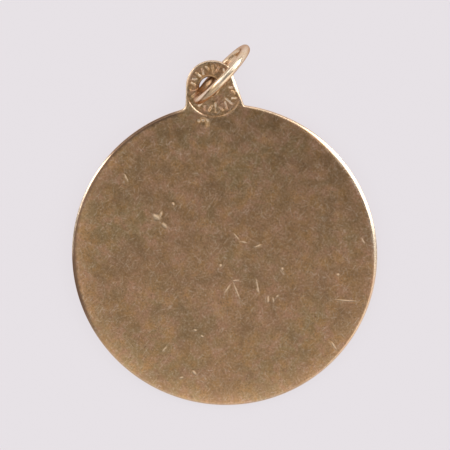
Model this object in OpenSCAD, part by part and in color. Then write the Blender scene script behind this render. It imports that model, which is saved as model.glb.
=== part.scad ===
/* [Disc] */
// Diameter of the round disc
disc_d = 25; // [24.6:0.1:25.4]
// Thickness of the flat plate: the disc at its rim, and the tab
plate_t = 0.48; // [0.44:0.01:0.5]
// How far the middle of the back face stands above its edge
crown = 0.2; // [0.1:0.01:0.3]
// Height of the soft bevel where the back face meets the rim
bevel_h = 0.12; // [0.06:0.01:0.2]
// Width of that bevel
bevel_w = 0.3; // [0.15:0.05:0.6]
// Small bevel round the hidden front face
front_bevel = 0.08; // [0.04:0.01:0.15]

/* [Tab] */
// Radius of the tab's round top
tab_r = 2.15; // [2.1:0.01:2.2]
// Height of the tab above the disc's rim
tab_rise = 3.62; // [3.56:0.02:3.68]
// How far the middle of the round top lies left of the middle line
tab_shift = 0; // [-0.05:0.01:0.05]
// Distance of the flat right side from the middle of the round top
tab_flat = 1.9; // [1.86:0.01:1.94]
// Lean of the flat right side from the middle line
tab_flare = 15.7; // [12:0.1:20]
// How much wider the tab is at its foot on the left side
tab_foot = 0.16; // [0:0.02:0.3]
// Diameter of the hole for the jump ring
hole_d = 1.7; // [1.68:0.01:1.76]
// How far the hole's edges are worn back, in both faces
hole_soft = 0.18; // [0.17:0.01:0.2]
// Distance from the top of the tab down to the middle of the hole
hole_drop = 2.12; // [2.1:0.01:2.14]
// How far the middle of the hole lies left of the middle line
hole_shift = 0.28; // [0.26:0.01:0.3]

/* [Struck marks] */
// Diameter of the struck circle round the hole
struck_d = 4.72; // [4.6:0.02:4.8]
// Depth of the struck circle's sunk floor
struck_depth = 0.06; // [0.03:0.01:0.08]
// Distance from the top of the tab down to the middle of the struck circle
struck_drop = 2.28; // [2.24:0.01:2.32]
// How far the middle of the struck circle lies left of the middle line
struck_shift = -0.16; // [-0.2:0.01:-0.12]
// Number of raised ticks in the struck circle
ticks = 24; // [16:2:28]
// Distance of the ticks' outer ends from the struck circle's edge
tick_inset = 0.38; // [0.3:0.02:0.5]
// Length of the longest ticks
tick_l = 0.8; // [0.6:0.05:0.9]
// Width of a raised tick
tick_w = 0.13; // [0.1:0.01:0.16]
// Distance from the top of the tab down to the middle of the small punch mark
punch_drop = 5.08; // [5.06:0.01:5.2]
// How far the middle of the small punch mark lies left of the middle line
punch_shift = 0.94; // [0.8:0.01:1]
// Diameter of the small punch mark
punch_d = 1.2; // [0.9:0.05:1.2]
// Depth of the small punch mark
punch_depth = 0.07; // [0.04:0.01:0.1]

/* [Jump ring] */
// Outer diameter of the jump ring
ring_d = 6.36; // [6.34:0.01:6.38]
// Thickness of the jump ring's round wire
wire_d = 0.7; // [0.66:0.01:0.71]
// Turn of the standing ring from the pendant's sideways axis
ring_turn = 42.5; // [41:0.5:45]
// Lean of the standing ring towards the lower right
ring_lean = 3.8; // [3.4:0.1:4.2]
// Distance of the ring's middle from the hole's middle, along the ring's line
ring_reach = 1.73; // [1.72:0.01:1.76]
// Distance of the ring's middle to the lower right of the hole's middle
ring_across = -0.06; // [-0.08:0.01:-0.04]
// Height of the ring's middle above the hidden front face
ring_up = 2.3; // [2.28:0.01:2.32]

/* [Wear] */
// Depth of the flats worn into the two spots that the pendant rests on
worn = 0.006; // [0.002:0.001:0.01]

/* [Hidden] */
$fn = 96;
crown_steps = 12; // straight steps in the crown's section
past = 1; // how far a cutter runs past the metal

disc_r = disc_d / 2;
tab_top = disc_r + tab_rise;
tab_mid = [-tab_shift, tab_top - tab_r];
hole = [-hole_shift, tab_top - hole_drop];
struck_mid = [-struck_shift, tab_top - struck_drop];
struck_floor = plate_t - struck_depth;
punch_mid = [-punch_shift, tab_top - punch_drop];
dot_d = punch_d / 5;
dot_step = 1.5 * dot_d;

// The ticks keep a margin to the hole's worn rim, and their tops stay a little
// under the plate's face
tick_margin = 0.12;
tick_out = struck_d / 2 - tick_inset;
tick_top = plate_t - struck_depth / 4;
tick_shares = [1, 0.5, 0.75]; // lengths of three ticks in a row
tick_leans = [0, 25, -20]; // their lean from the line to the struck circle's middle

// The wire's middle line, and two directions in the plate's plane:
// one along the standing ring and one across it, to the lower right
ring_r = (ring_d - wire_d) / 2;
along = [cos(ring_turn), sin(ring_turn), 0];
across = [sin(ring_turn), -cos(ring_turn), 0];
ring_mid = [hole[0], hole[1], ring_up] + ring_reach * along + ring_across * across;
ring_axis = cos(ring_lean) * across - [0, 0, sin(ring_lean)];

// The ring's lowest point and the rim point beyond the disc's middle carry the
// pendant. settled(p, tilt) is the flat pendant's point p after it tips about
// the disc's middle, its ring end up, and reach(dir, tilt) is how far the ring
// then reaches along a direction.
foot = ring_mid - ring_r * sin(ring_lean) * across;
rest_turn = atan2(foot[1], foot[0]);
rest_along = [cos(rest_turn), sin(rest_turn), 0];
rest_side = [-sin(rest_turn), cos(rest_turn), 0];
function settled(p, tilt) =
    (p * rest_along) * [cos(tilt) * rest_along[0], cos(tilt) * rest_along[1], sin(tilt)]
    + (p * rest_side) * rest_side
    + p[2] * [-sin(tilt) * rest_along[0], -sin(tilt) * rest_along[1], cos(tilt)];
function reach(dir, tilt) =
    settled(ring_mid, tilt) * dir
    + ring_r * sqrt(1 - pow(settled(ring_axis, tilt) * dir, 2)) + wire_d / 2;
function rim_low(tilt) = -(disc_r - front_bevel) * sin(tilt);
function settle(tilt, rounds) =
    rounds == 0 ? tilt
    : settle(tilt + asin((rim_low(tilt) + reach([0, 0, -1], tilt))
                         / (disc_r + norm([foot[0], foot[1]]))), rounds - 1);
rest_tilt = settle(0, 8);
rest_up = -rim_low(rest_tilt);

// The ring reaches furthest along +Y, and the disc's rim furthest along -Y
ring_far_y = reach([0, 1, 0], rest_tilt);
rim_far_y = -disc_r * cos(rest_tilt) - (plate_t - bevel_h) * sin(rest_tilt);
mid_y = (ring_far_y + rim_far_y) / 2;

// Sets the flat pendant down on z = 0, with the origin under the box's middle,
// and takes off what is worn away where it touches
module at_rest() {
    intersection() {
        translate([0, -mid_y, rest_up - worn])
            rotate([0, 0, rest_turn])
                rotate([0, -rest_tilt, 0])
                    rotate([0, 0, -rest_turn])
                        children();
        translate([-disc_d, -disc_d, 0])
            cube([2 * disc_d, 2 * disc_d, disc_d]);
    }
}

// Half of the disc's section: flat front, bevelled rim and crowned back
module disc_section() {
    edge_r = disc_r - bevel_w;
    polygon([
        [0, 0],
        [disc_r - front_bevel, 0],
        [disc_r, front_bevel],
        [disc_r, plate_t - bevel_h],
        for (i = [crown_steps : -1 : 0])
            let (r = edge_r * i / crown_steps) [r, plate_t + crown * (1 - pow(r / edge_r, 2))]
    ]);
}

// Outline of the tab, from inside the disc up to its round top
module tab_outline() {
    left = tab_mid[0] - tab_r;
    right = disc_r / 4; // well past the flat right side
    root = disc_r - tab_r;
    flat_mid = tab_mid + tab_flat * [cos(tab_flare), sin(tab_flare)];
    intersection() {
        union() {
            translate(tab_mid) circle(tab_r);
            polygon([
                [left, tab_mid[1]],
                [left - tab_foot, disc_r - tab_foot],
                [left, root],
                [tab_r, root],
                [right, disc_r - tab_foot],
                [right, tab_mid[1]]
            ]);
        }
        translate(flat_mid)
            rotate(tab_flare)
                translate([-disc_d, -disc_r])
                    square([disc_d, disc_d]);
    }
}

// A raised tick, rooted in the plate under the struck circle's floor
module tick(turn, length, lean) {
    root = plate_t / 2;
    translate(struck_mid)
        rotate(turn)
            translate([tick_out - length / 2, 0, root])
                rotate(lean)
                    translate([-length / 2, -tick_w / 2, 0])
                        cube([length, tick_w, tick_top - root]);
}

// Ticks of three kinds in turn, cut off at the tab's outline and round the hole
module tick_ring() {
    difference() {
        intersection() {
            for (i = [0 : ticks - 1])
                tick(i * 360 / ticks, tick_l * tick_shares[i % 3], tick_leans[i % 3]);
            linear_extrude(plate_t) tab_outline();
        }
        translate([hole[0], hole[1], 0])
            cylinder(d = hole_d + 2 * (hole_soft + tick_margin), h = plate_t);
    }
}

// Small round punch mark with three raised dots
module punch() {
    translate([punch_mid[0], punch_mid[1], plate_t - punch_depth])
        difference() {
            cylinder(d = punch_d, h = crown + past);
            for (i = [-1 : 1])
                translate([i * dot_step, dot_d, -past])
                    cylinder(d = dot_d, h = past + punch_depth);
        }
}

// Hole for the jump ring, its edges worn back in both faces
module ring_hole() {
    wide_d = hole_d + 2 * (hole_soft + past);
    translate([hole[0], hole[1], -past]) {
        cylinder(d = hole_d, h = plate_t + 2 * past);
        cylinder(d1 = wide_d, d2 = hole_d, h = hole_soft + past);
    }
    translate([hole[0], hole[1], plate_t - hole_soft])
        cylinder(d1 = hole_d, d2 = wide_d, h = hole_soft + past);
}

// One plate: the disc with its tab, the hole and the struck marks
module disc() {
    color([0.55, 0.44, 0.33])
        at_rest() {
            difference() {
                union() {
                    rotate_extrude() disc_section();
                    linear_extrude(plate_t) tab_outline();
                }
                ring_hole();
                translate([struck_mid[0], struck_mid[1], struck_floor])
                    cylinder(d = struck_d, h = crown + past);
                punch();
            }
            tick_ring();
        }
}

// Round wire closed to a ring, standing through the hole
module jump_ring() {
    color([0.78, 0.66, 0.5])
        at_rest()
            translate(ring_mid)
                rotate([0, 0, ring_turn])
                    rotate([90 + ring_lean, 0, 0])
                        rotate_extrude()
                            translate([ring_r, 0]) circle(d = wire_d);
}

disc();
jump_ring();
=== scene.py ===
"""A thin gold disc pendant with a standing jump ring, lying face down on a pale floor."""

import math

import bpy
import numpy as np
from mathutils import Matrix, Vector, geometry, kdtree


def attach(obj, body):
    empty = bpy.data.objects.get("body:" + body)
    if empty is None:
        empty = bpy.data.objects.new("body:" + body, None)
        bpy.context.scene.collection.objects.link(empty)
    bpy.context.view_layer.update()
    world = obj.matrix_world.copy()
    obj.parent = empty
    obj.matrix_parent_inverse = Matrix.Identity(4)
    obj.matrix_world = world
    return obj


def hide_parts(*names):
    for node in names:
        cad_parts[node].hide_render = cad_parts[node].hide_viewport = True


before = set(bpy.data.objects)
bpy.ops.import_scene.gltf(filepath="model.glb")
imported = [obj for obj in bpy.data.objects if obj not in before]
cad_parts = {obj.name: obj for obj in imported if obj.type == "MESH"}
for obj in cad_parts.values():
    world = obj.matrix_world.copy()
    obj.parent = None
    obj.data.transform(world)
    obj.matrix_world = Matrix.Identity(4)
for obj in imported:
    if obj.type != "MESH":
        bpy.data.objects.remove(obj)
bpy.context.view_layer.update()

# Driving sizes, in millimetres and degrees, as the solids have them
MM = 0.001
DISC_R = 12.5
PLATE_T = 0.48
CROWN = 0.2
BEVEL_W = 0.3
TAB_R = 2.15
TAB_RISE = 3.62
TAB_SHIFT = 0.0
TAB_FLAT = 1.9
TAB_FLARE = 15.7
TAB_FOOT = 0.16
HOLE_R = 0.85
HOLE_SOFT = 0.18
HOLE_DROP = 2.12
HOLE_SHIFT = 0.28
STRUCK_R = 2.36
STRUCK_DEPTH = 0.06
STRUCK_DROP = 2.28
STRUCK_SHIFT = -0.16
TICKS = 24
TICK_W = 0.13
TICK_H = 0.75 * STRUCK_DEPTH
TICK_MARGIN = 0.12
TICK_INSET = 0.38
TICK_L = 0.8
TICK_SHARES = (1, 0.5, 0.75)
TICK_LEANS = (0, 25, -20)
PUNCH_DROP = 5.08
PUNCH_SHIFT = 0.94
PUNCH_R = 0.6
PUNCH_DEPTH = 0.07
RING_D = 6.36
WIRE_D = 0.7
RING_TURN = 42.5
RING_LEAN = 3.8
RING_REACH = 1.73
RING_ACROSS = -0.06
RING_UP = 2.3
FRONT_BEVEL = 0.08
WORN = 0.006

TAB_TOP = DISC_R + TAB_RISE
TAB_MID = np.array([-TAB_SHIFT, TAB_TOP - TAB_R])
HOLE = np.array([-HOLE_SHIFT, TAB_TOP - HOLE_DROP])
STRUCK_MID = np.array([-STRUCK_SHIFT, TAB_TOP - STRUCK_DROP])
PUNCH_MID = np.array([-PUNCH_SHIFT, TAB_TOP - PUNCH_DROP])

# The photograph, 450 pixels square: the disc's middle, its scale and its lean, and
# how far off the vertical it was taken, from which side (0 right, 90 down)
PHOTO_SIDE = 450
DISC_PX = (224.2, 255.7)
PX_PER_MM = 12.22
PHOTO_LEAN = 3.75
PHOTO_TILT = 8.0
PHOTO_SIDEWAYS = -70

# Marks that each vertex carries, from 0 to 1: rubbed bright, and in places painted
# highlight; dirty, and in places painted shade; cut or struck bare, and on the ring
# painted highlight
MARKS = ("wear_and_highlight", "grime_and_shade", "nick_and_highlight")


def from_photo(x, y):
    """A pixel of the photograph as a point of the flat pendant, in millimetres."""
    d = np.array([x - DISC_PX[0], y - DISC_PX[1]]) / PX_PER_MM
    sideways, lean = math.radians(PHOTO_SIDEWAYS), math.radians(PHOTO_LEAN)
    near = np.array([math.cos(sideways), math.sin(sideways)])
    d += (d @ near) * near * (1 / math.cos(math.radians(PHOTO_TILT)) - 1)
    c, s = math.cos(lean), math.sin(lean)
    return np.array([c * d[0] - s * d[1], -s * d[0] - c * d[1]])


def way_up(angle, elevation):
    """Direction from the pendant at an angle of the photograph and an elevation."""
    a, e = math.radians(-angle - PHOTO_LEAN), math.radians(elevation)
    return (math.cos(a) * math.cos(e), math.sin(a) * math.cos(e), math.sin(e))


# How the pendant rests


class Rest:
    """Where the flat pendant's points lie once it stands on its far rim and its ring."""

    rounds = 8  # enough for the tilt to stop changing
    ring_r = (RING_D - WIRE_D) / 2
    turn = math.radians(RING_TURN)
    along = np.array([math.cos(turn), math.sin(turn), 0])
    across = np.array([math.sin(turn), -math.cos(turn), 0])
    lean = math.radians(RING_LEAN)
    ring_mid = np.array([*HOLE, RING_UP]) + RING_REACH * along + RING_ACROSS * across
    ring_axis = math.cos(lean) * across - np.array([0, 0, math.sin(lean)])
    ring_top = math.sin(lean) * across + np.array([0, 0, math.cos(lean)])

    def __init__(self):
        foot = self.ring_mid - self.ring_r * math.sin(self.lean) * self.across
        reach = math.hypot(foot[0], foot[1])
        self.dir = np.array([foot[0] / reach, foot[1] / reach, 0])
        self.side = np.array([-self.dir[1], self.dir[0], 0])
        self.tilt = 0.0
        for _ in range(self.rounds):
            gap = self.rim_low() + self.ring_reach(np.array([0, 0, -1]))
            self.tilt += math.asin(gap / (DISC_R + reach))
        rim_y = -DISC_R * math.cos(self.tilt)
        self.shift = np.array([0, -(self.ring_reach(np.array([0, 1, 0])) + rim_y) / 2, 0])
        self.shift[2] = -self.rim_low() - WORN

    def turned(self, p):
        """Points or directions of the flat pendant after it has tipped."""
        p = np.atleast_2d(p)
        c, s = math.cos(self.tilt), math.sin(self.tilt)
        up = np.array([0, 0, 1])
        return (
            np.outer(p @ self.dir, c * self.dir + s * up)
            + np.outer(p @ self.side, self.side)
            + np.outer(p[:, 2], c * up - s * self.dir)
        )

    def rim_low(self):
        """Height of the tipped rim's lowest point over the disc's middle."""
        return -(DISC_R - FRONT_BEVEL) * math.sin(self.tilt)

    def ring_reach(self, way):
        """How far the tipped ring reaches along a direction."""
        mid, axis = self.turned(self.ring_mid)[0], self.turned(self.ring_axis)[0]
        return mid @ way + self.ring_r * math.sqrt(1 - (axis @ way) ** 2) + WIRE_D / 2

    def place(self, p):
        """Points of the flat pendant in the row frame, in metres, none under the floor."""
        q = self.turned(p) + self.shift
        q[:, 2] = np.maximum(q[:, 2], 0)
        return q * MM


REST = Rest()


# Outline of disc and tab: the step between its points, and the widths over which its
# corners are worn round, everywhere and within reach of the tab's left foot

FINE_STEP = 0.02
CORNER_SOFT = 0.05
FOOT_SOFT = 0.28
FOOT_REACH = 0.9


def arc(mid, radius, start, end, step):
    """Points along an arc, angles in degrees, its end left out."""
    count = max(2, round(abs(math.radians(end - start)) * radius / step))
    a = np.radians(np.linspace(start, end, count, endpoint=False))
    return np.stack([mid[0] + radius * np.cos(a), mid[1] + radius * np.sin(a)], 1)


def line(p, q, step):
    """Points along a line, its end left out."""
    count = max(2, round(math.dist(p, q) / step))
    t = np.linspace(0, 1, count, endpoint=False)[:, None]
    return np.asarray(p) * (1 - t) + np.asarray(q) * t


def heading(p):
    """Angle of a point about the origin, in degrees."""
    return math.degrees(math.atan2(p[1], p[0]))


def resampled(loop, step):
    """A closed loop with points at equal distances."""
    closed = np.vstack([loop, loop[:1]])
    run = np.concatenate([[0], np.cumsum(np.linalg.norm(np.diff(closed, axis=0), axis=1))])
    s = np.linspace(0, run[-1], round(run[-1] / step), endpoint=False)
    return np.stack([np.interp(s, run, closed[:, i]) for i in range(2)], 1)


def softened(loop, step, width):
    """A closed loop with its corners rounded over a given width."""
    count = len(loop)
    s = np.minimum(np.arange(count), count - np.arange(count)) * step
    weight = np.exp(-((s / width) ** 2) / 2)
    weight /= weight.sum()
    spectrum = np.fft.rfft(weight)[:, None]
    return np.fft.irfft(np.fft.rfft(loop, axis=0) * spectrum, count, axis=0)


def outline(step):
    """The plate's outer edge as a closed loop, anticlockwise from the tab's right foot."""
    flare = math.radians(TAB_FLARE)
    out = np.array([math.cos(flare), math.sin(flare)])
    down = np.array([math.sin(flare), -math.cos(flare)])
    flat = TAB_MID + TAB_FLAT * out
    top = flat - math.sqrt(TAB_R**2 - TAB_FLAT**2) * down
    along = flat @ down
    right_foot = flat - (along + math.sqrt(along * along - flat @ flat + DISC_R**2)) * down
    left = TAB_MID[0] - TAB_R
    left_x = left - TAB_FOOT
    left_foot = (left_x, math.sqrt(DISC_R**2 - left_x**2))
    loop = np.vstack([
        line(right_foot, top, FINE_STEP),
        arc(TAB_MID, TAB_R, heading(top - TAB_MID), 180, FINE_STEP),
        line((left, TAB_MID[1]), left_foot, FINE_STEP),
        arc((0, 0), DISC_R, heading(left_foot), heading(right_foot) + 360, FINE_STEP),
    ])
    loop = resampled(loop, FINE_STEP)
    crisp, soft = (softened(loop, FINE_STEP, width) for width in (CORNER_SOFT, FOOT_SOFT))
    near = np.exp(-((np.linalg.norm(loop - left_foot, axis=1) / FOOT_REACH) ** 2))[:, None]
    return resampled(crisp * (1 - near) + soft * near, step)


def outline_tree():
    """The plate's outline as a tree that finds its nearest point."""
    loop = outline(FINE_STEP)
    tree = kdtree.KDTree(len(loop))
    for i, (x, y) in enumerate(loop):
        tree.insert((x, y, 0), i)
    tree.balance()
    return tree


OUTLINE_TREE = outline_tree()


def edge_distance(points):
    """Distance of points from the plate's outline."""
    return np.array([OUTLINE_TREE.find((x, y, 0))[2] for x, y in points])


# Forms of the relief


def ease(t):
    """0 below 0, 1 above 1, smooth between."""
    t = np.clip(t, 0, 1)
    return t * t * (3 - 2 * t)


def share(value, none, full):
    """0 where a value is at or past the first limit, 1 at or past the second."""
    return ease((value - none) / (full - none))


def waves(points, count, length, seed):
    """Smooth random unevenness between about -1 and 1, of about that wavelength."""
    rng = np.random.default_rng(seed)
    total = np.zeros(len(points))
    for _ in range(count):
        a, phase = rng.uniform(0, 2 * math.pi, 2)
        k = 2 * math.pi / (length * rng.uniform(0.7, 1.5))
        total += np.cos(points @ (k * np.array([math.cos(a), math.sin(a)])) + phase)
    return total / math.sqrt(count)


def rolled(d, width, drop):
    """How far a rounded edge has dropped at a distance from it: a quarter of an ellipse."""
    t = 1 - np.clip(d / width, 0, 1)
    return drop * (1 - np.sqrt(1 - t * t))


def chamfered(d, width, drop):
    """How far a straight bevel has dropped at a distance from its edge, its top soft."""
    soft = width / 6
    return drop * soft / width * np.logaddexp(0, (width - d) / soft)


# Edge of the back face. A stretch has its middle as an angle of the photograph, then
# the cosines of the angles from there where it ends and where it is at its full
# The bright stretches, at the upper right of rim and tab, carry a painted highlight: the rubbed
# tone along their edge
BRIGHT_RIM = (-23, 0.76, 0.96)
BRIGHT_TAB = (-18, 0.75, 0.95)
# The dull stretch, at the left, carries painted shade: the grime tone along its edge instead of
# wear
SHADED_RIM = (205, 0.35, 0.75)
# The pale stretch, at the upper left, carries a painted highlight along its edge, kept clear of the
# dull stretch's painted shade
PALE_RIM = (201, 0.92, 0.97)
PALE_ON_TAB = 0.5
TAB_EDGE_R = TAB_R + 0.7
TINY = 1e-9

# Width and drop of the edge: rounded on the tab and on the disc, bevelled where it is
# bright or pale
TAB_ROUND = (0.16, 0.10)
DISC_ROUND = (0.22, 0.15)
BRIGHT_BEVEL = (0.25, 0.17)
PALE_BEVEL = (0.16, 0.13)


def stretch(way, side):
    """How much directions from the middle lie in a stretch of the edge, 0 to 1."""
    angle, ends, full = side
    return share(way @ way_up(angle, 0)[:2], ends, full)


def rim_sides(points):
    """How bright, how shaded and how pale the edge nearest to points is, each 0 to 1: the bright
    and pale stretches carry painted highlights, the shaded one painted shade.
    """
    off_tab = np.hypot(*(points - TAB_MID).T) > TAB_EDGE_R
    d = points - np.where(off_tab[:, None], 0, TAB_MID)
    way = d / np.maximum(np.linalg.norm(d, axis=1), TINY)[:, None]
    bright = np.where(off_tab, stretch(way, BRIGHT_RIM), stretch(way, BRIGHT_TAB))
    pale = stretch(way, PALE_RIM) * np.where(off_tab, 1, PALE_ON_TAB)
    return bright, stretch(way, SHADED_RIM), pale


# Nicks and scratches that show in the photograph: pixel x and y, then length and
# width in millimetres, direction in the photograph (0 right, 90 down), and depth
NICKS = [
    (157, 217.5, 0.52, 0.38, 0, 0.030),
    (154.5, 215.5, 0.34, 0.28, 60, 0.020),
    (161, 214, 0.50, 0.16, -72, 0.020),
    (164.5, 225.5, 0.56, 0.27, 42, 0.020),
    (173.2, 203.6, 0.24, 0.20, 80, 0.020),
    (126, 177.2, 0.62, 0.13, 65, 0.020),
    (236.5, 236.3, 0.75, 0.11, 50, 0.016),
    (244, 242, 0.60, 0.10, 10, 0.012),
    (257.8, 246, 0.60, 0.12, -25, 0.018),
    (220.5, 265.5, 0.24, 0.16, -60, 0.018),
    (227.3, 289, 0.95, 0.11, -57, 0.014),
    (236.4, 291, 1.30, 0.12, 68, 0.018),
    (235.6, 280.5, 0.55, 0.11, -6, 0.012),
    (257.2, 285, 1.00, 0.12, 80, 0.018),
    (257.9, 290.5, 0.30, 0.18, 80, 0.020),
    (268, 300, 0.55, 0.14, -86, 0.018),
    (273.2, 300.3, 0.45, 0.12, 82, 0.014),
    (277.3, 296.4, 0.30, 0.12, -45, 0.014),
    (282.3, 269, 0.24, 0.18, 80, 0.018),
    (363, 241, 0.60, 0.12, 60, 0.018),
    (346, 301, 1.70, 0.11, 4, 0.014),
    (334, 347, 0.80, 0.14, 58, 0.022),
    (338, 275, 0.24, 0.18, 0, 0.018),
    (194, 374, 0.42, 0.20, 50, 0.020),
    (181, 379, 0.30, 0.16, -20, 0.014),
    (195, 331, 0.24, 0.18, 0, 0.014),
    (202, 337, 0.24, 0.16, 30, 0.014),
    (164, 350, 0.60, 0.10, -50, 0.012),
]

# How fast a nick's depth and its shine fall off, and the burr round it: its share of
# the depth, how many half widths out it stands, and how fast it falls off
NICK_FALL = 1.6
SHINE_FALL = 1.2
BURR_SHARE = 0.35
BURR_OUT = 1.5
BURR_FALL = 4


def nicks(points):
    """Depth of the nicks, less the burr round them, and how brightly they shine."""
    depth, shine = np.zeros(len(points)), np.zeros(len(points))
    for x, y, length, width, way, deep in NICKS:
        d = points - from_photo(x, y)
        a = math.radians(-way - PHOTO_LEAN)
        along = (d @ [math.cos(a), math.sin(a)]) / (length / 2)
        across = (d @ [-math.sin(a), math.cos(a)]) / (width / 2)
        off = np.abs(along) ** 3 + across * across
        burr = BURR_SHARE * np.exp(-BURR_FALL * (np.sqrt(off) - BURR_OUT) ** 2)
        depth += deep * (np.exp(-NICK_FALL * off) - burr)
        shine = np.maximum(shine, np.exp(-SHINE_FALL * off))
    return depth, shine


# The hole's edge has a burr, which stands further in across the ring
HOLE_EDGE_R = HOLE_R - 0.04
HOLE_SLIM_R = HOLE_EDGE_R - 0.05


def hole_distance(points):
    """Distance of points from the hole's burred edge."""
    d = points - HOLE
    across = (d @ REST.across[:2]) * HOLE_EDGE_R / HOLE_SLIM_R
    return np.hypot(d @ REST.along[:2], across) - HOLE_EDGE_R


def hole_loop(step):
    """The hole's burred edge as a closed loop, anticlockwise."""
    u, v = arc((0, 0), HOLE_EDGE_R, 0, 360, step).T[:, :, None]
    return HOLE + u * REST.along[:2] - v * HOLE_SLIM_R / HOLE_EDGE_R * REST.across[:2]


# The struck circle: width of its wall, soft and where the punch went in deepest; that
# side's angle of the photograph, and where it starts and is reached, as shares of the
# radius; width and height of its lip, and the lip's share away from that side
WALL_W = 0.42
STEEP_WALL_W = 0.07
DEEP_WAY = 140
DEEP_SIDE = (0.86, 0.97)
LIP_W = 0.06
LIP_H = 0.03
LOW_LIP = 0.22

# Softness of the ticks' sides, and distances from the plate's edge where they end and
# where they have their full height
TICK_SOFT = 0.07
TICK_ENDS = (0.28, 0.40)

# The small punch mark: width of its wall, then softness of its dots' sides
PUNCH_WALL_W = 0.52
DOT_SOFT = 0.06


def ticks(points):
    """Height of the raised ticks, from 0 on the struck floor to 1."""
    d = points - STRUCK_MID
    height = np.zeros(len(points))
    near = np.flatnonzero(np.hypot(d[:, 0], d[:, 1]) < STRUCK_R)
    soft = (-TICK_SOFT / 2, TICK_SOFT / 2)
    for i in range(TICKS):
        turn = math.radians(i * 360 / TICKS)
        lean = turn + math.radians(TICK_LEANS[i % len(TICK_LEANS)])
        length = TICK_L * TICK_SHARES[i % len(TICK_SHARES)]
        reach = STRUCK_R - TICK_INSET - length / 2
        e = d[near] - reach * np.array([math.cos(turn), math.sin(turn)])
        u = length / 2 - np.abs(e @ [math.cos(lean), math.sin(lean)])
        v = TICK_W / 2 - np.abs(e @ [-math.sin(lean), math.cos(lean)])
        height[near] = np.maximum(height[near], share(np.minimum(u, v), *soft))
    return height * share(hole_distance(points) - HOLE_SOFT - TICK_MARGIN, *soft)


def struck(points, edge_d):
    """The struck circle's sunk field, its raised ticks and its lip, each 0 to 1."""
    d = points - STRUCK_MID
    r = np.hypot(d[:, 0], d[:, 1])
    deepest = share(d @ way_up(DEEP_WAY, 0)[:2] / STRUCK_R, *DEEP_SIDE)
    wall = WALL_W + (STEEP_WALL_W - WALL_W) * deepest
    field = share(r, STRUCK_R + wall / 2, STRUCK_R - wall / 2)
    lip = np.exp(-(((r - STRUCK_R) / LIP_W) ** 2)) * (LOW_LIP + (1 - LOW_LIP) * deepest)
    return field, ticks(points) * share(edge_d, *TICK_ENDS), lip


def punch(points):
    """Depth of the small punch mark and height of its three dots, each from 0 to 1."""
    d = points - PUNCH_MID
    sunk = share(np.hypot(d[:, 0], d[:, 1]), PUNCH_R, PUNCH_R - PUNCH_WALL_W)
    dots = np.zeros(len(points))
    dot_r = PUNCH_R / 5
    for i in (-1, 0, 1):
        near = np.hypot(d[:, 0] - 3 * i * dot_r, d[:, 1] - 2 * dot_r)
        dots = np.maximum(dots, share(near, dot_r + DOT_SOFT / 2, dot_r - DOT_SOFT / 2))
    return sunk * (1 - dots), dots


def streak(points, ends, half):
    """How close points are to a line between two pixels of the photograph, 0 to 1."""
    p, q = (from_photo(*end) for end in ends)
    run = np.clip((points - p) @ (q - p) / ((q - p) @ (q - p)), 0, 1)
    off = np.linalg.norm(points - p - np.outer(run, q - p), axis=1)
    return share(off, 1.5 * half, 0.5 * half)


# The disc's face falls away towards its rim over a wide and a narrow margin, but not
# where the tab joins it, which the distance from the tab's middle tells
WIDE_MARGIN, WIDE_DROP = 2.4, 0.06
NARROW_MARGIN, NARROW_DROP = 0.9, 0.05
TAB_JOIN = (2.2, 4.2)

# Unevenness: number of waves, wavelength and seed, and how high it stands where it is
# part of the relief. The swell dies out towards the rim over a margin
SWELL, SWELL_H, SWELL_MARGIN = (14, 7.0, 3), 0.006, 2
RIPPLE, RIPPLE_H = (24, 1.6, 4), 0.0012
STRUCK_ROUGH, STRUCK_ROUGH_H = (20, 0.35, 5), 0.004
TICK_WEAR = (12, 1.1, 6)
STROKE_WEAR = (12, 1.4, 6)

# What is left of the ticks' height: its mean, its variation and its limits. How much
# their tops are rubbed: mean and variation, and the heights where it starts and is full
TICK_LEFT, TICK_VARY, TICK_LIMITS = 0.8, 0.25, (0.3, 1.2)
STROKE_MEAN, STROKE_VARY, STROKE_TOPS = 0.35, 0.8, (0.45, 0.8)

# Bands along the edge, by distance from it, where each ends and where it is at its
# full, the width of the wear on the whole edge, and the bright band's soft side. The pale
# and bright bands are painted highlight, the dull band painted shade
PALE_BAND = (0.13, 0.08)
PALE_SHADE_CUT = (0.13, 0.09)
SHADED_BAND = (0.32, 0.20)
BRIGHT_BAND = 0.14
BRIGHT_SOFT = 0.08
EDGE_WEAR_W = 0.12
HOLE_DIRT_AND_SHADE_W = 0.15

# Strength of the wear on the plain edge, of the wear and painted highlight on the lip, and how bare
# the rubbed ticks are
EDGE_WEAR = 0.6
LIP_WEAR_AND_HIGHLIGHT = 0.6
STROKE_BARE = 0.7

# Strength of the grime on each part of the back face; round the hole it is dirt and
# painted shade together, and the streak and the darker side are painted shade
FIELD_GRIME = 0.16
PUNCH_GRIME = 0.25
TAB_GRIME = 0.2
HOLE_DIRT_AND_SHADE = 0.6
RING_SHADOW_STRENGTH = 0.45
SHADED_SIDE_STRENGTH = 0.15

# The ring's painted shadow on the tab, a streak between two pixels, with half of its
# width, and the middle and size of the painted shade that darkens one side of the face
RING_SHADOW_PX = ((213, 81), (225.5, 64.5))
RING_SHADOW_HALF = 0.22
SHADED_SIDE_PX = (290, 170)
SHADED_SIDE_SIZE = 4.8


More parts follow.
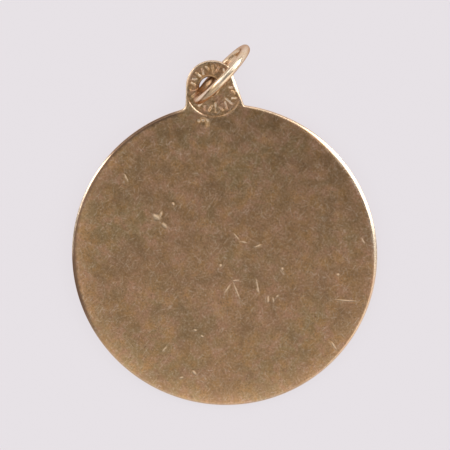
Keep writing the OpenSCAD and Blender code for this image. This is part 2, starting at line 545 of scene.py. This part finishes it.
class BackFace:
    """The back face at points: its height, and its marks from 0 to 1."""

    def __init__(self, points, edge_d):
        self.points = points
        self.edge_d = edge_d
        self.hole_d = hole_distance(points)
        self.off_tab = share(np.hypot(*(points - TAB_MID).T), *TAB_JOIN)
        self.bright, self.dull, self.pale = rim_sides(points)
        self.field, self.raised, self.lip = struck(points, edge_d)
        self.sunk, self.dots = punch(points)
        self.dent, self.shine = nicks(points)
        rubbed = ease(STROKE_MEAN + STROKE_VARY * waves(points, *STROKE_WEAR))
        self.strokes = self.field * share(self.raised, *STROKE_TOPS) * rubbed

    def plain(self):
        """Height of the crowned face without its marks and its edge."""
        r = np.hypot(self.points[:, 0], self.points[:, 1])
        z = PLATE_T + CROWN * np.clip(1 - (r / (DISC_R - BEVEL_W)) ** 2, 0, None)
        narrow = np.clip(1 - (DISC_R - r) / NARROW_MARGIN, 0, 1)
        z -= self.off_tab * WIDE_DROP * share(r, DISC_R - WIDE_MARGIN, DISC_R) ** 2
        z -= self.off_tab * NARROW_DROP * narrow**2
        z += SWELL_H * waves(self.points, *SWELL) * share(r, DISC_R, DISC_R - SWELL_MARGIN)
        return z + RIPPLE_H * waves(self.points, *RIPPLE)

    def height(self):
        """Height of the face over the flat pendant's front, with all its marks."""
        z = self.plain()
        floor_z = PLATE_T - STRUCK_DEPTH + STRUCK_ROUGH_H * waves(self.points, *STRUCK_ROUGH)
        left = np.clip(TICK_LEFT + TICK_VARY * waves(self.points, *TICK_WEAR), *TICK_LIMITS)
        z += self.field * (floor_z + self.raised * TICK_H * left - z)
        z += LIP_H * self.lip - PUNCH_DEPTH * self.sunk - self.dent
        z -= rolled(self.hole_d, HOLE_SOFT, HOLE_SOFT)
        sizes = zip(TAB_ROUND, DISC_ROUND)
        width, drop = (tab + (disc - tab) * self.off_tab for tab, disc in sizes)
        z -= rolled(self.edge_d, width, drop) * (1 - self.bright) * (1 - self.pale)
        z -= chamfered(self.edge_d, *BRIGHT_BEVEL) * self.bright
        return z - chamfered(self.edge_d, *PALE_BEVEL) * self.pale

    def wear_and_highlight(self):
        """Where the gold is rubbed bright on edges, ticks and the lip, with painted highlights
        along the bright and pale stretches of the edge and on the lip's taller side.
        """
        edge = np.exp(-((self.edge_d / EDGE_WEAR_W) ** 2)) * (1 - self.dull * self.off_tab)
        band = BRIGHT_BAND * (1 + self.bright)
        return np.maximum.reduce([
            # Painted highlight: the rubbed tone along the edge of the bright stretches
            edge * (EDGE_WEAR + (1 - EDGE_WEAR) * self.bright),
            self.bright * share(self.edge_d, band, band - BRIGHT_SOFT),
            # Painted highlight: the rubbed tone along the edge of the pale stretch
            self.pale * share(self.edge_d, *PALE_BAND),
            self.strokes,
            # The lip's rubbed tone follows its height, strongest on its lower-left side: wear and
            # painted highlight
            LIP_WEAR_AND_HIGHLIGHT * self.lip,
        ])

    def grime_and_shade(self):
        """Where dirt and tone have stayed, and where shade is painted: along the dull stretch of
        the rim, round the hole with its dirt, in the ring's shadow on the tab and over the face's
        darker side.
        """
        outside_pale_band = 1 - self.pale * share(self.edge_d, *PALE_SHADE_CUT)
        shaded_side_d = np.linalg.norm(self.points - from_photo(*SHADED_SIDE_PX), axis=1)
        return np.maximum.reduce([
            FIELD_GRIME * self.field * (1 - self.raised),
            PUNCH_GRIME * self.sunk,
            TAB_GRIME * (1 - self.off_tab) * (1 - self.field),
            # Painted shade along the dull stretch of the rim
            self.dull * self.off_tab * share(self.edge_d, *SHADED_BAND) * outside_pale_band,
            # Round the hole: dirt and painted shade together
            HOLE_DIRT_AND_SHADE * np.exp(-((self.hole_d / HOLE_DIRT_AND_SHADE_W) ** 2)),
            # Painted shadow of the ring on the tab's face
            RING_SHADOW_STRENGTH * streak(self.points, RING_SHADOW_PX, RING_SHADOW_HALF),
            # Painted shade: the face darker towards its upper right
            SHADED_SIDE_STRENGTH * np.exp(-((shaded_side_d / SHADED_SIDE_SIZE) ** 2)),
        ])

    def nick_and_highlight(self):
        """Where the gold is cut or struck bare: nicks, rubbed ticks and the punch's dots."""
        return np.maximum.reduce([self.shine, STROKE_BARE * self.strokes, self.dots])


# Steps between mesh points: in fine relief, on the tab, on the disc, on the plain front
# face, along the rim and round the hole
FINE, CLOSE, WIDE, PLAIN = 0.036, 0.1, 0.26, 0.8
RIM_STEP = 0.11
HOLE_STEP = 0.035

# Distance under which two points count as one when triangles are made
SAME_POINT = 1e-7

# Distances of the loops of points that follow the rim and the hole
EDGE_STEPS = (0.01, 0.028, 0.052, 0.084, 0.124, 0.172, 0.23)
HOLE_STEPS = (0.004, 0.013, 0.028, 0.05, 0.08, 0.12, 0.18)

# Free margins: the least share of its distance from the rim that a loop's point keeps,
# and how far inner points stay from rim and hole, on the back face and on the front
LOOP_SHARE = 0.97
RIM_GAP = 1.25 * EDGE_STEPS[-1]
HOLE_GAP = HOLE_STEPS[-1] + 0.04
FRONT_RIM_GAP = 0.5
FRONT_HOLE_GAP = HOLE_SOFT + 0.4

# How far the finely meshed zones reach past the struck circle, the punch mark and the
# tab, and past a nick's middle as a share of its length and a margin
STRUCK_PAST, PUNCH_PAST, TAB_PAST = 0.18, 0.15, 1.2
NICK_SHARE, NICK_PAST = 0.6, 0.1

# The plate's sides, from the back face down: levels of the upright wall as shares of
# it, steps round the edge of the front face, and how far the rim bulges
WALL_LEVELS = (0.97, 0.8, 0.5, 0.2, 0)
ROUND_STEPS = (0.3, 0.65, 1)
RIM_BULGE = 0.015
BULGE_START = 0.15

# Marks of the rim, the hole's wall and the front face; the hole's wall is darkened, dirt
# and painted shade together
RIM_MARKS = (0.6, 0.1, 0)
HOLE_MARKS = (0, 0.7, 0)
FRONT_MARKS = (0, 0.1, 0)


class MeshData:
    """Points, marks and faces of a mesh while it is put together."""

    def __init__(self):
        self.points, self.marks, self.faces = [], [], []
        self.count = 0

    def add(self, points, marks):
        """Adds points with their marks and gives the points' numbers."""
        self.points.append(points)
        self.marks.append(np.broadcast_to(marks, (len(points), len(MARKS))))
        self.count += len(points)
        return np.arange(self.count - len(points), self.count)

    def add_wall(self, upper, lower, way):
        """Adds faces between two closed rows of points, turned over where way is -1."""
        upper_next, lower_next = np.roll(upper, -1), np.roll(lower, -1)
        faces = [
            np.stack([upper, lower_next, upper_next], 1),
            np.stack([upper, lower, lower_next], 1),
        ]
        self.faces.append(np.vstack(faces)[:, ::way])

    def made(self, name):
        """The mesh as an object of that name."""
        return mesh_object(name, *(np.vstack(a) for a in (self.points, self.faces, self.marks)))


def mesh_object(name, points, faces, marks):
    """A smooth mesh object set down in its resting place, with its marks."""
    mesh = bpy.data.meshes.new(name)
    mesh.from_pydata(REST.place(points).tolist(), [], faces.tolist())
    mesh.validate()
    for i, label in enumerate(MARKS):
        layer = mesh.attributes.new(label, "FLOAT", "POINT")
        layer.data.foreach_set("value", marks[:, i].astype(np.float32))
    mesh.shade_smooth()
    obj = bpy.data.objects.new(name, mesh)
    bpy.context.scene.collection.objects.link(obj)
    return obj


def hexagonal(low, high, step):
    """Points of a triangular grid over a box."""
    rows = np.arange(low[1], high[1], step * math.sqrt(3) / 2)
    columns = np.arange(low[0], high[0], step)
    x, y = np.meshgrid(columns, rows)
    x[1::2] += step / 2
    return np.stack([x.ravel(), y.ravel()], 1)


def within(points, mid, radius):
    """Whether points lie within a circle."""
    return np.hypot(*(points - mid).T) < radius


def face_points():
    """Inner points of the back face, closest together where its relief is finest."""
    zones = [(STRUCK_MID, STRUCK_R + STRUCK_PAST, FINE), (PUNCH_MID, PUNCH_R + PUNCH_PAST, FINE)]
    for x, y, length, *_ in NICKS:
        zones.append((from_photo(x, y), NICK_SHARE * length + NICK_PAST, FINE))
    zones += [(TAB_MID, TAB_R + TAB_PAST, CLOSE), ((0, 0), DISC_R, WIDE)]
    kept = []
    for i, (mid, radius, step) in enumerate(zones):
        p = hexagonal(np.array(mid) - radius, np.array(mid) + radius, step)
        p = p[within(p, mid, radius)]
        for other, other_radius, other_step in zones[:i]:
            p = p[~within(p, other, other_radius + (step - other_step) / 2)]
        kept.append(p)
    return np.vstack(kept)


def moved_in(loop, distance):
    """A closed anticlockwise loop moved inwards by a distance."""
    run = np.roll(loop, -1, 0) - np.roll(loop, 1, 0)
    side = np.stack([-run[:, 1], run[:, 0]], 1) / np.linalg.norm(run, axis=1)[:, None]
    return loop + distance * side


def in_loop(points, loop, batch=2000):
    """Whether points lie within a closed loop, worked out a batch at a time."""
    a, b = loop, np.roll(loop, -1, 0)
    rise = np.where(b[:, 1] == a[:, 1], 1, b[:, 1] - a[:, 1])
    found = []
    for part in np.array_split(points, len(points) // batch + 1):
        y = part[:, 1:]
        x = a[:, 0] + (y - a[:, 1]) / rise * (b[:, 0] - a[:, 0])
        spans = (a[:, 1] > y) != (b[:, 1] > y)
        found.append((spans & (part[:, :1] < x)).sum(1) % 2 == 1)
    return np.concatenate(found)


def triangulated(points, loops):
    """Triangles over points between an outer and an inner loop of them.

    Each loop is the numbers of its points. Gives the vertices, the triangles, and the
    numbers that the two loops' points have among the vertices.
    """
    edges = np.vstack([np.stack([loop, np.roll(loop, -1)], 1) for loop in loops]).tolist()
    made = geometry.delaunay_2d_cdt([Vector(p) for p in points], edges, [], 0, SAME_POINT)
    vertices = np.array([v[:] for v in made[0]])
    triangles = np.array([t[:] for t in made[2]])
    sources = {source[0]: i for i, source in enumerate(made[3]) if source}
    mid = vertices[triangles].mean(1)
    kept = in_loop(mid, points[loops[0]]) & ~in_loop(mid, points[loops[1]])
    return vertices, triangles[kept], [[sources[i] for i in loop] for loop in loops]


def add_back(plate, rim, hole):
    """Adds the back face and gives its points and the numbers of both its edges."""
    rims = []
    for step in EDGE_STEPS:
        loop = moved_in(rim, step)
        rims.append(loop[edge_distance(loop) > LOOP_SHARE * step])
    holes = [moved_in(hole, -step) for step in HOLE_STEPS]
    inner = face_points()
    inner = inner[in_loop(inner, rim)]
    inner = inner[edge_distance(inner) > RIM_GAP]
    inner = inner[hole_distance(inner) > HOLE_GAP]
    points = np.vstack([rim, *rims, hole, *holes, inner])
    hole_start = len(rim) + sum(len(loop) for loop in rims)
    loops = [np.arange(len(rim)), hole_start + np.arange(len(hole))]
    flat, triangles, (rim_top, hole_top) = triangulated(points, loops)
    edge_d = edge_distance(flat)
    edge_d[rim_top] = 0
    face = BackFace(flat, edge_d)
    back = np.column_stack([flat, face.height()])
    plate.add(back, np.column_stack([face.wear_and_highlight(), face.grime_and_shade(), face.nick_and_highlight()]))
    plate.faces.append(triangles)
    return back, rim_top, hole_top


def add_side(plate, loop, top, top_z, soft, bulge, way, marks):
    """Adds the wall under an edge of the back face and the front face's rounded edge.

    The rim's way is 1 and the hole's is -1. Gives the lowest points and their numbers.
    """
    rows = []
    for level in WALL_LEVELS:
        swell = bulge * math.sin(math.pi * (BULGE_START + (1 - BULGE_START) * level))
        rows.append((-swell, soft + (top_z - soft) * level))
    rows += [(t * t * soft, np.full(len(loop), soft * (1 - t))) for t in ROUND_STEPS]
    last = top
    for inward, z in rows:
        moved = moved_in(loop, way * inward)
        row = plate.add(np.column_stack([moved, z]), marks)
        plate.add_wall(last, row, way)
        last = row
    return moved, last


def add_front(plate, rim, rim_foot, hole, hole_foot):
    """Adds the plain front face: one flat sheet between the feet of rim and hole."""
    inner = hexagonal(np.array([-DISC_R, -DISC_R]), np.array([DISC_R, TAB_TOP]), PLAIN)
    inner = inner[in_loop(inner, rim)]
    inner = inner[edge_distance(inner) > FRONT_RIM_GAP]
    inner = inner[hole_distance(inner) > FRONT_HOLE_GAP]
    points = np.vstack([rim, hole, inner])
    loops = [np.arange(len(rim)), len(rim) + np.arange(len(hole))]
    flat, triangles, (rim_at, hole_at) = triangulated(points, loops)
    number = np.zeros(len(flat), int)
    number[rim_at] = rim_foot
    number[hole_at] = hole_foot
    loose = np.setdiff1d(np.arange(len(flat)), rim_at + hole_at)
    number[loose] = plate.add(np.column_stack([flat[loose], np.zeros(len(loose))]), FRONT_MARKS)
    plate.faces.append(number[triangles][:, ::-1])


def build_disc():
    """Back face, side walls and plain front face of the plate."""
    plate = MeshData()
    rim, hole = outline(RIM_STEP), hole_loop(HOLE_STEP)
    back, rim_top, hole_top = add_back(plate, rim, hole)
    rim_z, hole_z = back[rim_top, 2], back[hole_top, 2]
    rim_foot = add_side(plate, rim, rim_top, rim_z, FRONT_BEVEL, RIM_BULGE, 1, RIM_MARKS)
    hole_foot = add_side(plate, hole, hole_top, hole_z, HOLE_SOFT, 0, -1, HOLE_MARKS)
    add_front(plate, *rim_foot, *hole_foot)
    return plate.made("pendant_disc")


# Streaks of the ring, all painted light: painted shade on the near strand's body, along
# the line beside its pale streak and on the far strand in the hole, and painted highlights
# on the pale streak, both white streaks and the ring's end. Each gives where along the
# ring it starts and ends, where round the wire at both ends, half of its width, all in
# degrees, then mark and strength
RING_MARKS = (
    (88, 168, -10, 30, 34, "grime_and_shade", 0.45),
    (98, 160, -50, 12, 14, "grime_and_shade", 0.9),
    (96, 164, -98, -18, 30, "nick_and_highlight", 0.7),
    (44, 98, -24, -20, 34, "nick_and_highlight", 0.6),
    (190, 266, 180, 180, 150, "grime_and_shade", 1.0),
    (278, 314, 165, 165, 34, "nick_and_highlight", 0.6),
    (322, 394, -60, -60, 90, "nick_and_highlight", 0.6),
)
STREAK_ENDS = 0.15

# Mesh points along the ring and round its wire. The wire is worn a little thinner and
# unevenly, its rubbed places come and go, and it is darker on its inner side
RING_SIDES, WIRE_SIDES = 240, 48
WIRE_WORN, WIRE_UNEVEN = 0.012, 0.010
WIRE_WAVES = (10, 2.2, 11)
RUB_WAVES = (12, 2.0, 12)
RUB_MEAN, RUB_VARY = 0.4, 0.4
INNER_DARKENING = 0.6
INNER_DARKENING_SIDE = (0.2, 0.7)


def build_ring():
    """The jump ring: round wire, slightly uneven, rubbed where it hangs, with streaks of painted
    highlight and painted shade.
    """
    turn = np.linspace(0, 2 * math.pi, RING_SIDES, endpoint=False)
    side = np.linspace(0, 2 * math.pi, WIRE_SIDES, endpoint=False)
    turn, side = (m.ravel() for m in np.meshgrid(turn, side, indexing="ij"))
    uneven = WIRE_UNEVEN * waves(np.stack([turn * 3, side], 1), *WIRE_WAVES)
    wire = WIRE_D / 2 * (1 - WIRE_WORN + uneven)
    mid = np.outer(np.cos(turn), REST.along) + np.outer(np.sin(turn), REST.ring_top)
    out = mid * (REST.ring_r + wire * np.cos(side))[:, None]
    points = REST.ring_mid + out + np.outer(wire * np.sin(side), REST.ring_axis)
    sides = (range(RING_SIDES), range(WIRE_SIDES))
    i, j = (m.ravel() for m in np.meshgrid(*sides, indexing="ij"))
    row, next_row = i * WIRE_SIDES, (i + 1) % RING_SIDES * WIRE_SIDES
    next_j = (j + 1) % WIRE_SIDES
    faces = np.stack([row + j, next_row + j, next_row + next_j, row + next_j], 1)

    spread = REST.ring_r * np.stack([np.cos(turn), np.sin(turn)], 1)
    spread[:, 1] += side
    rub = np.clip(RUB_MEAN + RUB_VARY * waves(spread, *RUB_WAVES), 0, 1)
    inner_darkening = INNER_DARKENING * share(-np.cos(side), *INNER_DARKENING_SIDE)
    marks = np.stack([rub, inner_darkening, np.zeros(len(rub))], 1)
    # Lays the streaks: painted highlights in the tone for nicks, painted shade in the grime tone
    for start, end, start_side, end_side, half, kind, strength in RING_MARKS:
        run = (np.degrees(turn) - start) % 360 / (end - start)
        middle = start_side + (end_side - start_side) * np.clip(run, 0, 1)
        off = np.abs((np.degrees(side) - middle + 180) % 360 - 180)
        there = share(run, 0, STREAK_ENDS) * share(run, 1, 1 - STREAK_ENDS)
        there = there * share(off, half, half / 2)
        column = MARKS.index(kind)
        marks[:, column] = marks[:, column] * (1 - there) + strength * there
        cleared = {"grime_and_shade": "wear_and_highlight", "nick_and_highlight": "grime_and_shade"}[kind]
        marks[:, MARKS.index(cleared)] *= 1 - there
    return mesh_object("ring_wire", points, faces, marks)


# Materials


class Shader:
    """A material's node tree, with short calls for the nodes used here."""

    def __init__(self, name):
        self.material = bpy.data.materials.new(name)
        self.material.use_nodes = True
        self.tree = self.material.node_tree
        self.metal = self.tree.nodes["Principled BSDF"]
        coords = self.tree.nodes.new("ShaderNodeTexCoord")
        self.place = self.scaled(coords.outputs["Object"], (1 / MM,) * 3)

    def node(self, kind, inputs=(), **settings):
        """A new node with its inputs filled in and its settings made."""
        made = self.tree.nodes.new(kind)
        for key, value in settings.items():
            setattr(made, key, value)
        for key, value in dict(inputs).items():
            self.put(made.inputs[key], value)
        return made

    def put(self, socket, value):
        """Links a socket to another node's output, or sets it to a constant."""
        if isinstance(value, bpy.types.NodeSocket):
            self.tree.links.new(value, socket)
        else:
            socket.default_value = value

    def scaled(self, vector, scale, turn=0.0, shift=(0, 0, 0)):
        inputs = {"Vector": vector, "Scale": scale, "Location": shift, "Rotation": (0, 0, turn)}
        return self.node("ShaderNodeMapping", inputs).outputs[0]

    def noise(self, vector, scale, detail, rough, twist=0.0):
        inputs = {
            "Vector": vector,
            "Scale": scale,
            "Detail": detail,
            "Roughness": rough,
            "Distortion": twist,
        }
        return self.node("ShaderNodeTexNoise", inputs).outputs["Fac"]

    def span(self, value, low, high, to_low=0.0, to_high=1.0):
        """A value from one range carried over to another, clamped and smooth."""
        inputs = {
            "Value": value,
            "From Min": low,
            "From Max": high,
            "To Min": to_low,
            "To Max": to_high,
        }
        made = self.node("ShaderNodeMapRange", inputs, interpolation_type="SMOOTHSTEP")
        return made.outputs[0]

    def math(self, operation, a, b):
        return self.node("ShaderNodeMath", {0: a, 1: b}, operation=operation).outputs[0]

    def mix(self, part, a, b):
        """Colour a with a part of colour b over it."""
        made = self.node("ShaderNodeMix", data_type="RGBA")
        for name, value in (("Factor", part), ("A", a), ("B", b)):
            self.put(next(s for s in made.inputs if s.name == name and s.enabled), value)
        return next(s for s in made.outputs if s.enabled)

    def mix_values(self, part, a, b):
        return self.node("ShaderNodeMix", {"Factor": part, "A": a, "B": b}).outputs[0]

    def attribute(self, name):
        return self.node("ShaderNodeAttribute", attribute_name=name).outputs["Fac"]


# Noise patterns of the gold: turn and shift of each, then the noise's scale, detail,
# roughness and distortion
PATTERNS = {
    "cloud": (0.3, (3, 1, 8), 0.16, 3.0, 0.5, 0.5),
    "shade": (0.9, (23, 14, 2), 0.3, 4.0, 0.6, 0.8),
    "patch": (0.7, (31, 7, 3), 0.9, 3.0, 0.6, 0.3),
    "tint": (2.1, (11, 27, 5), 1.1, 2.0, 0.5, 0.3),
    "grain": (1.2, (5, 9, 1), 6.0, 3.0, 0.75),
}

# Tones laid over the brown one in turn: the pattern, its values at which the layer
# starts and ends, the layer's strength at both, and its tone
LAYERS = (
    ("cloud", 0.35, 0.65, 0, 1, "olive"),
    ("patch", 0.42, 0.66, 0, 0.75, "rose"),
    ("tint", 0.46, 0.7, 0, 0.75, "amber"),
    ("shade", 0.42, 0.68, 0, 0.6, "dark"),
    ("grain", 0.3, 0.52, 0.9, 0, "dark"),
    ("grain", 0.5, 0.75, 0, 0.55, "rubbed"),
)

# Spots: size, the noise's value above which they show, shift and strength. All have the
# same turn, softness and noise, which is given as in the patterns
PITS, PIT_STRENGTH = (0.16, 0.685, (7, 3, 2)), 0.5
# Glints are painted highlights: small spots laid in the rubbed tone
GLINTS, GLINT_STRENGTH = (0.13, 0.72, (17, 31, 4)), 0.8
SPOT_TURN = 0.4
SPOT_SOFT = 0.06
SPOT_NOISE = (1.0, 1.0, 0.6)

# Scratches: number of directions, width, length, the noise's value above which they
# show, and the seed of their directions; then how far apart their patterns lie
SCRATCHES = (7, 0.07, 0.9, 0.745, 21)
SCRATCH_APART = 40
SCRATCH_SCALE = (1, 1, 0.2)
SCRATCH_SOFT = 0.08
SCRATCH_NOISE = (1.0, 0.0, 0.4, 0.1)

# How strongly grime and painted shade, and wear and painted highlight, show in the colour,
# roughness of cut and scratched gold, and how much rougher or smoother the face is where
# its pattern has it so
GRIME_AND_SHADE_STRENGTH = 0.95
WEAR_AND_HIGHLIGHT_STRENGTH = 0.9
FRAYED_ROUGH = 0.42
SMOOTHER, ROUGHER = 0.03, 0.04

# The relief that light sees: its depth in millimetres, and its parts
RELIEF_DEPTH = 0.02
GRAIN_RELIEF = 0.7
PIT_RELIEF = 0.5
RUB_RELIEF = 0.4


def scratches(shader, layers, width, length, rarity, seed):
    """Fine straight scratches in several directions, from 0 to 1."""
    rng = np.random.default_rng(seed)
    total = 0.0
    for _ in range(layers):
        turn = rng.uniform(0, math.pi)
        shift = tuple(rng.uniform(-SCRATCH_APART, SCRATCH_APART, 3))
        turned = shader.scaled(shader.place, SCRATCH_SCALE, turn, shift)
        stretched = shader.scaled(turned, (1 / width, 1 / length, 1))
        strand = shader.noise(stretched, *SCRATCH_NOISE)
        lines = shader.span(strand, rarity, rarity + SCRATCH_SOFT)
        total = shader.math("MAXIMUM", total, lines)
    return total


def spots(shader, size, rarity, shift):
    """Small round spots here and there, from 0 to 1."""
    moved = shader.scaled(shader.place, (1 / size,) * 3, SPOT_TURN, shift)
    return shader.span(shader.noise(moved, *SPOT_NOISE), rarity, rarity + SPOT_SOFT)


def gold(name, tones, face_rough, rub_rough, scratch, bump):
    """Worn gold: mottled tones with grain, pits, scratches and painted glints, and the vertices'
    marks, which lay painted highlights and painted shade as well as wear and dirt.
    """
    s = Shader(name)
    wear_and_highlight, grime_and_shade, nick_and_highlight = (s.attribute(label) for label in MARKS)
    pattern = {}
    for label, (turn, shift, *noise) in PATTERNS.items():
        pattern[label] = s.noise(s.scaled(s.place, (1, 1, 1), turn, shift), *noise)
    pits = s.math("MULTIPLY", spots(s, *PITS), PIT_STRENGTH)
    glints = s.math("MULTIPLY", spots(s, *GLINTS), GLINT_STRENGTH)
    scratches_and_glints = s.math("MAXIMUM", s.math("MULTIPLY", scratches(s, *SCRATCHES), scratch), glints)

    colour = tones["brown"]
    for label, low, high, at_low, at_high, tone in LAYERS:
        colour = s.mix(s.span(pattern[label], low, high, at_low, at_high), colour, tones[tone])
    colour = s.mix(pits, colour, tones["grime_and_shade"])
    colour = s.mix(scratches_and_glints, colour, tones["rubbed"])
    colour = s.mix(nick_and_highlight, colour, tones["nick_and_highlight"])
    # The grime tone lays dirt and painted shade, the rubbed tone after it wear and painted
    # highlight
    colour = s.mix(s.math("MULTIPLY", grime_and_shade, GRIME_AND_SHADE_STRENGTH), colour, tones["grime_and_shade"])
    colour = s.mix(s.math("MULTIPLY", wear_and_highlight, WEAR_AND_HIGHLIGHT_STRENGTH), colour, tones["rubbed"])
    s.put(s.metal.inputs["Base Color"], colour)
    s.put(s.metal.inputs["Metallic"], 1.0)
    s.put(s.metal.inputs["Specular Tint"], tones["edge"])

    limits = (face_rough - SMOOTHER, face_rough + ROUGHER)
    rough = s.span(pattern["patch"], 0.3, 0.7, *limits)
    rough = s.mix_values(wear_and_highlight, rough, rub_rough)
    rough = s.mix_values(s.math("MAXIMUM", nick_and_highlight, scratches_and_glints), rough, FRAYED_ROUGH)
    s.put(s.metal.inputs["Roughness"], rough)

    relief = s.math("MULTIPLY", pattern["grain"], GRAIN_RELIEF)
    relief = s.math("SUBTRACT", relief, s.math("MULTIPLY", pits, PIT_RELIEF))
    relief = s.math("SUBTRACT", relief, s.math("MULTIPLY", scratches_and_glints, RUB_RELIEF))
    inputs = {"Strength": bump, "Distance": RELIEF_DEPTH * MM, "Height": relief}
    s.put(s.metal.inputs["Normal"], s.node("ShaderNodeBump", inputs).outputs[0])
    return s.material


# On the disc the rubbed tone also lays painted highlights and the grime tone painted shade
DISC_TONES = {
    "brown": (0.68, 0.387, 0.200, 1),
    "olive": (0.60, 0.392, 0.190, 1),
    "rose": (0.69, 0.367, 0.232, 1),
    "amber": (0.71, 0.390, 0.155, 1),
    "dark": (0.44, 0.26, 0.14, 1),
    "rubbed": (0.92, 0.76, 0.58, 1),
    "nick_and_highlight": (0.90, 0.68, 0.46, 1),
    "grime_and_shade": (0.19, 0.115, 0.075, 1),
    "edge": (1.0, 0.9, 0.8, 1),
}
# On the ring the tone for nicks lays painted highlights, and the grime tone painted shade
RING_TONES = {
    "brown": (0.88, 0.64, 0.42, 1),
    "olive": (0.84, 0.65, 0.40, 1),
    "rose": (0.90, 0.67, 0.52, 1),
    "amber": (0.88, 0.63, 0.38, 1),
    "dark": (0.74, 0.53, 0.35, 1),
    "rubbed": (0.93, 0.77, 0.56, 1),
    "nick_and_highlight": (1.0, 0.86, 0.72, 1),
    "grime_and_shade": (0.28, 0.165, 0.09, 1),
    "edge": (0.55, 0.38, 0.30, 1),
}


# Floor, light and camera

FLOOR_COLOUR = (0.08, 0.078, 0.08, 1)
FLOOR_GLOW = (0.717, 0.679, 0.709, 1)
FLOOR_ROUGH = 0.9
FLOOR_SHINE = 0.1
FLOOR_HALF = 1.5
CAMERA_UP = 0.6
SENSOR = 36.0


def build_floor():
    """A plain pale floor under the pendant."""
    mesh = bpy.data.meshes.new("floor")
    corners = [(x * FLOOR_HALF, y * FLOOR_HALF, 0) for x, y in ((-1, -1), (1, -1), (1, 1), (-1, 1))]
    mesh.from_pydata(corners, [], [(0, 1, 2, 3)])
    floor = bpy.data.objects.new("floor", mesh)
    bpy.context.scene.collection.objects.link(floor)
    material = bpy.data.materials.new("floor")
    material.use_nodes = True
    paper = material.node_tree.nodes["Principled BSDF"]
    paper.inputs["Base Color"].default_value = FLOOR_COLOUR
    paper.inputs["Roughness"].default_value = FLOOR_ROUGH
    paper.inputs["Specular IOR Level"].default_value = FLOOR_SHINE
    paper.inputs["Emission Color"].default_value = FLOOR_GLOW
    paper.inputs["Emission Strength"].default_value = 1.0
    mesh.materials.append(material)


# Soft lights of the dome: angle round the photograph (0 right, 90 down), elevation,
# half of its width, and how bright it is
DOME_BASE = (0.03, 0.029, 0.028)
DOME_LIGHTS = (
    (118, 20, 70, 0.48),
    (106, 44, 27, 0.56),
    (60, 55, 30, 0.38),
    (35, 24, 34, 1.30),
    (-165, 45, 36, 0.92),
    (-30, 76, 12, 0.16),
    (-45, 64, 16, 0.30),
    (-45, 44, 22, 1.4),
    (-112, 36, 17, 2.6),
    (-156, 20, 20, 4.0),
    (-85, 22, 20, 2.2),
    (-45, 22, 20, 5.0),
    (-15, 22, 20, 3.2),
)


def build_world():
    """A dim dome with soft lights, the strongest low beyond the pendant's upper right."""
    world = bpy.data.worlds.new("studio")
    bpy.context.scene.world = world
    world.use_nodes = True
    tree = world.node_tree
    coords = tree.nodes.new("ShaderNodeTexCoord").outputs["Generated"]
    total = None
    for angle, elevation, half, bright in DOME_LIGHTS:
        facing = tree.nodes.new("ShaderNodeVectorMath")
        facing.operation = "DOT_PRODUCT"
        tree.links.new(coords, facing.inputs[0])
        facing.inputs[1].default_value = way_up(angle, elevation)
        lobe = tree.nodes.new("ShaderNodeMapRange")
        lobe.interpolation_type = "SMOOTHERSTEP"
        tree.links.new(facing.outputs["Value"], lobe.inputs["Value"])
        lobe.inputs["From Min"].default_value = math.cos(math.radians(half))
        lobe.inputs["From Max"].default_value = math.cos(math.radians(half / 3))
        lobe.inputs["To Max"].default_value = bright
        if total is None:
            total = lobe.outputs[0]
            continue
        add = tree.nodes.new("ShaderNodeMath")
        add.operation = "ADD"
        tree.links.new(total, add.inputs[0])
        tree.links.new(lobe.outputs[0], add.inputs[1])
        total = add.outputs[0]
    glow = tree.nodes.new("ShaderNodeVectorMath")
    glow.operation = "ADD"
    tree.links.new(total, glow.inputs[0])
    glow.inputs[1].default_value = DOME_BASE
    tree.links.new(glow.outputs[0], tree.nodes["Background"].inputs["Color"])


def build_camera():
    """Above the pendant and a little to one side, framing the photograph's pixels."""
    mid = from_photo(PHOTO_SIDE / 2, PHOTO_SIDE / 2)
    target = Vector(REST.place([[mid[0], mid[1], PLATE_T]])[0])
    data = bpy.data.cameras.new("camera")
    data.sensor_width = SENSOR
    wide = PHOTO_SIDE / PX_PER_MM * MM
    data.lens = SENSOR * CAMERA_UP / wide
    data.clip_start, data.clip_end = 0.01, 10
    camera = bpy.data.objects.new("camera", data)
    side = Vector(way_up(PHOTO_SIDEWAYS, 0))
    tip = Matrix.Rotation(math.radians(PHOTO_TILT), 4, Vector((0, 0, 1)).cross(side))
    turned = tip @ Matrix.Rotation(-math.radians(PHOTO_LEAN), 4, "Z")
    camera.matrix_world = Matrix.Translation(target + turned @ Vector((0, 0, CAMERA_UP))) @ turned
    bpy.context.scene.collection.objects.link(camera)
    bpy.context.scene.camera = camera


def dress(obj, material, node):
    """Gives a piece its material and its body, and hides the CAD node that it stands for."""
    obj.data.materials.append(material)
    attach(obj, "root")
    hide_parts(node)


build_camera()
build_floor()
build_world()
disc_gold = gold(
    "worn_disc_gold_with_painted_light", DISC_TONES, face_rough=0.34, rub_rough=0.24, scratch=0.39, bump=0.46
)
ring_gold = gold(
    "rubbed_ring_gold_with_painted_light", RING_TONES, face_rough=0.28, rub_rough=0.18, scratch=0.2, bump=0.2
)
dress(build_disc(), disc_gold, "disc")
dress(build_ring(), ring_gold, "jump_ring")

view = bpy.context.scene.view_settings
view.view_transform = "Standard"
view.look = "None"
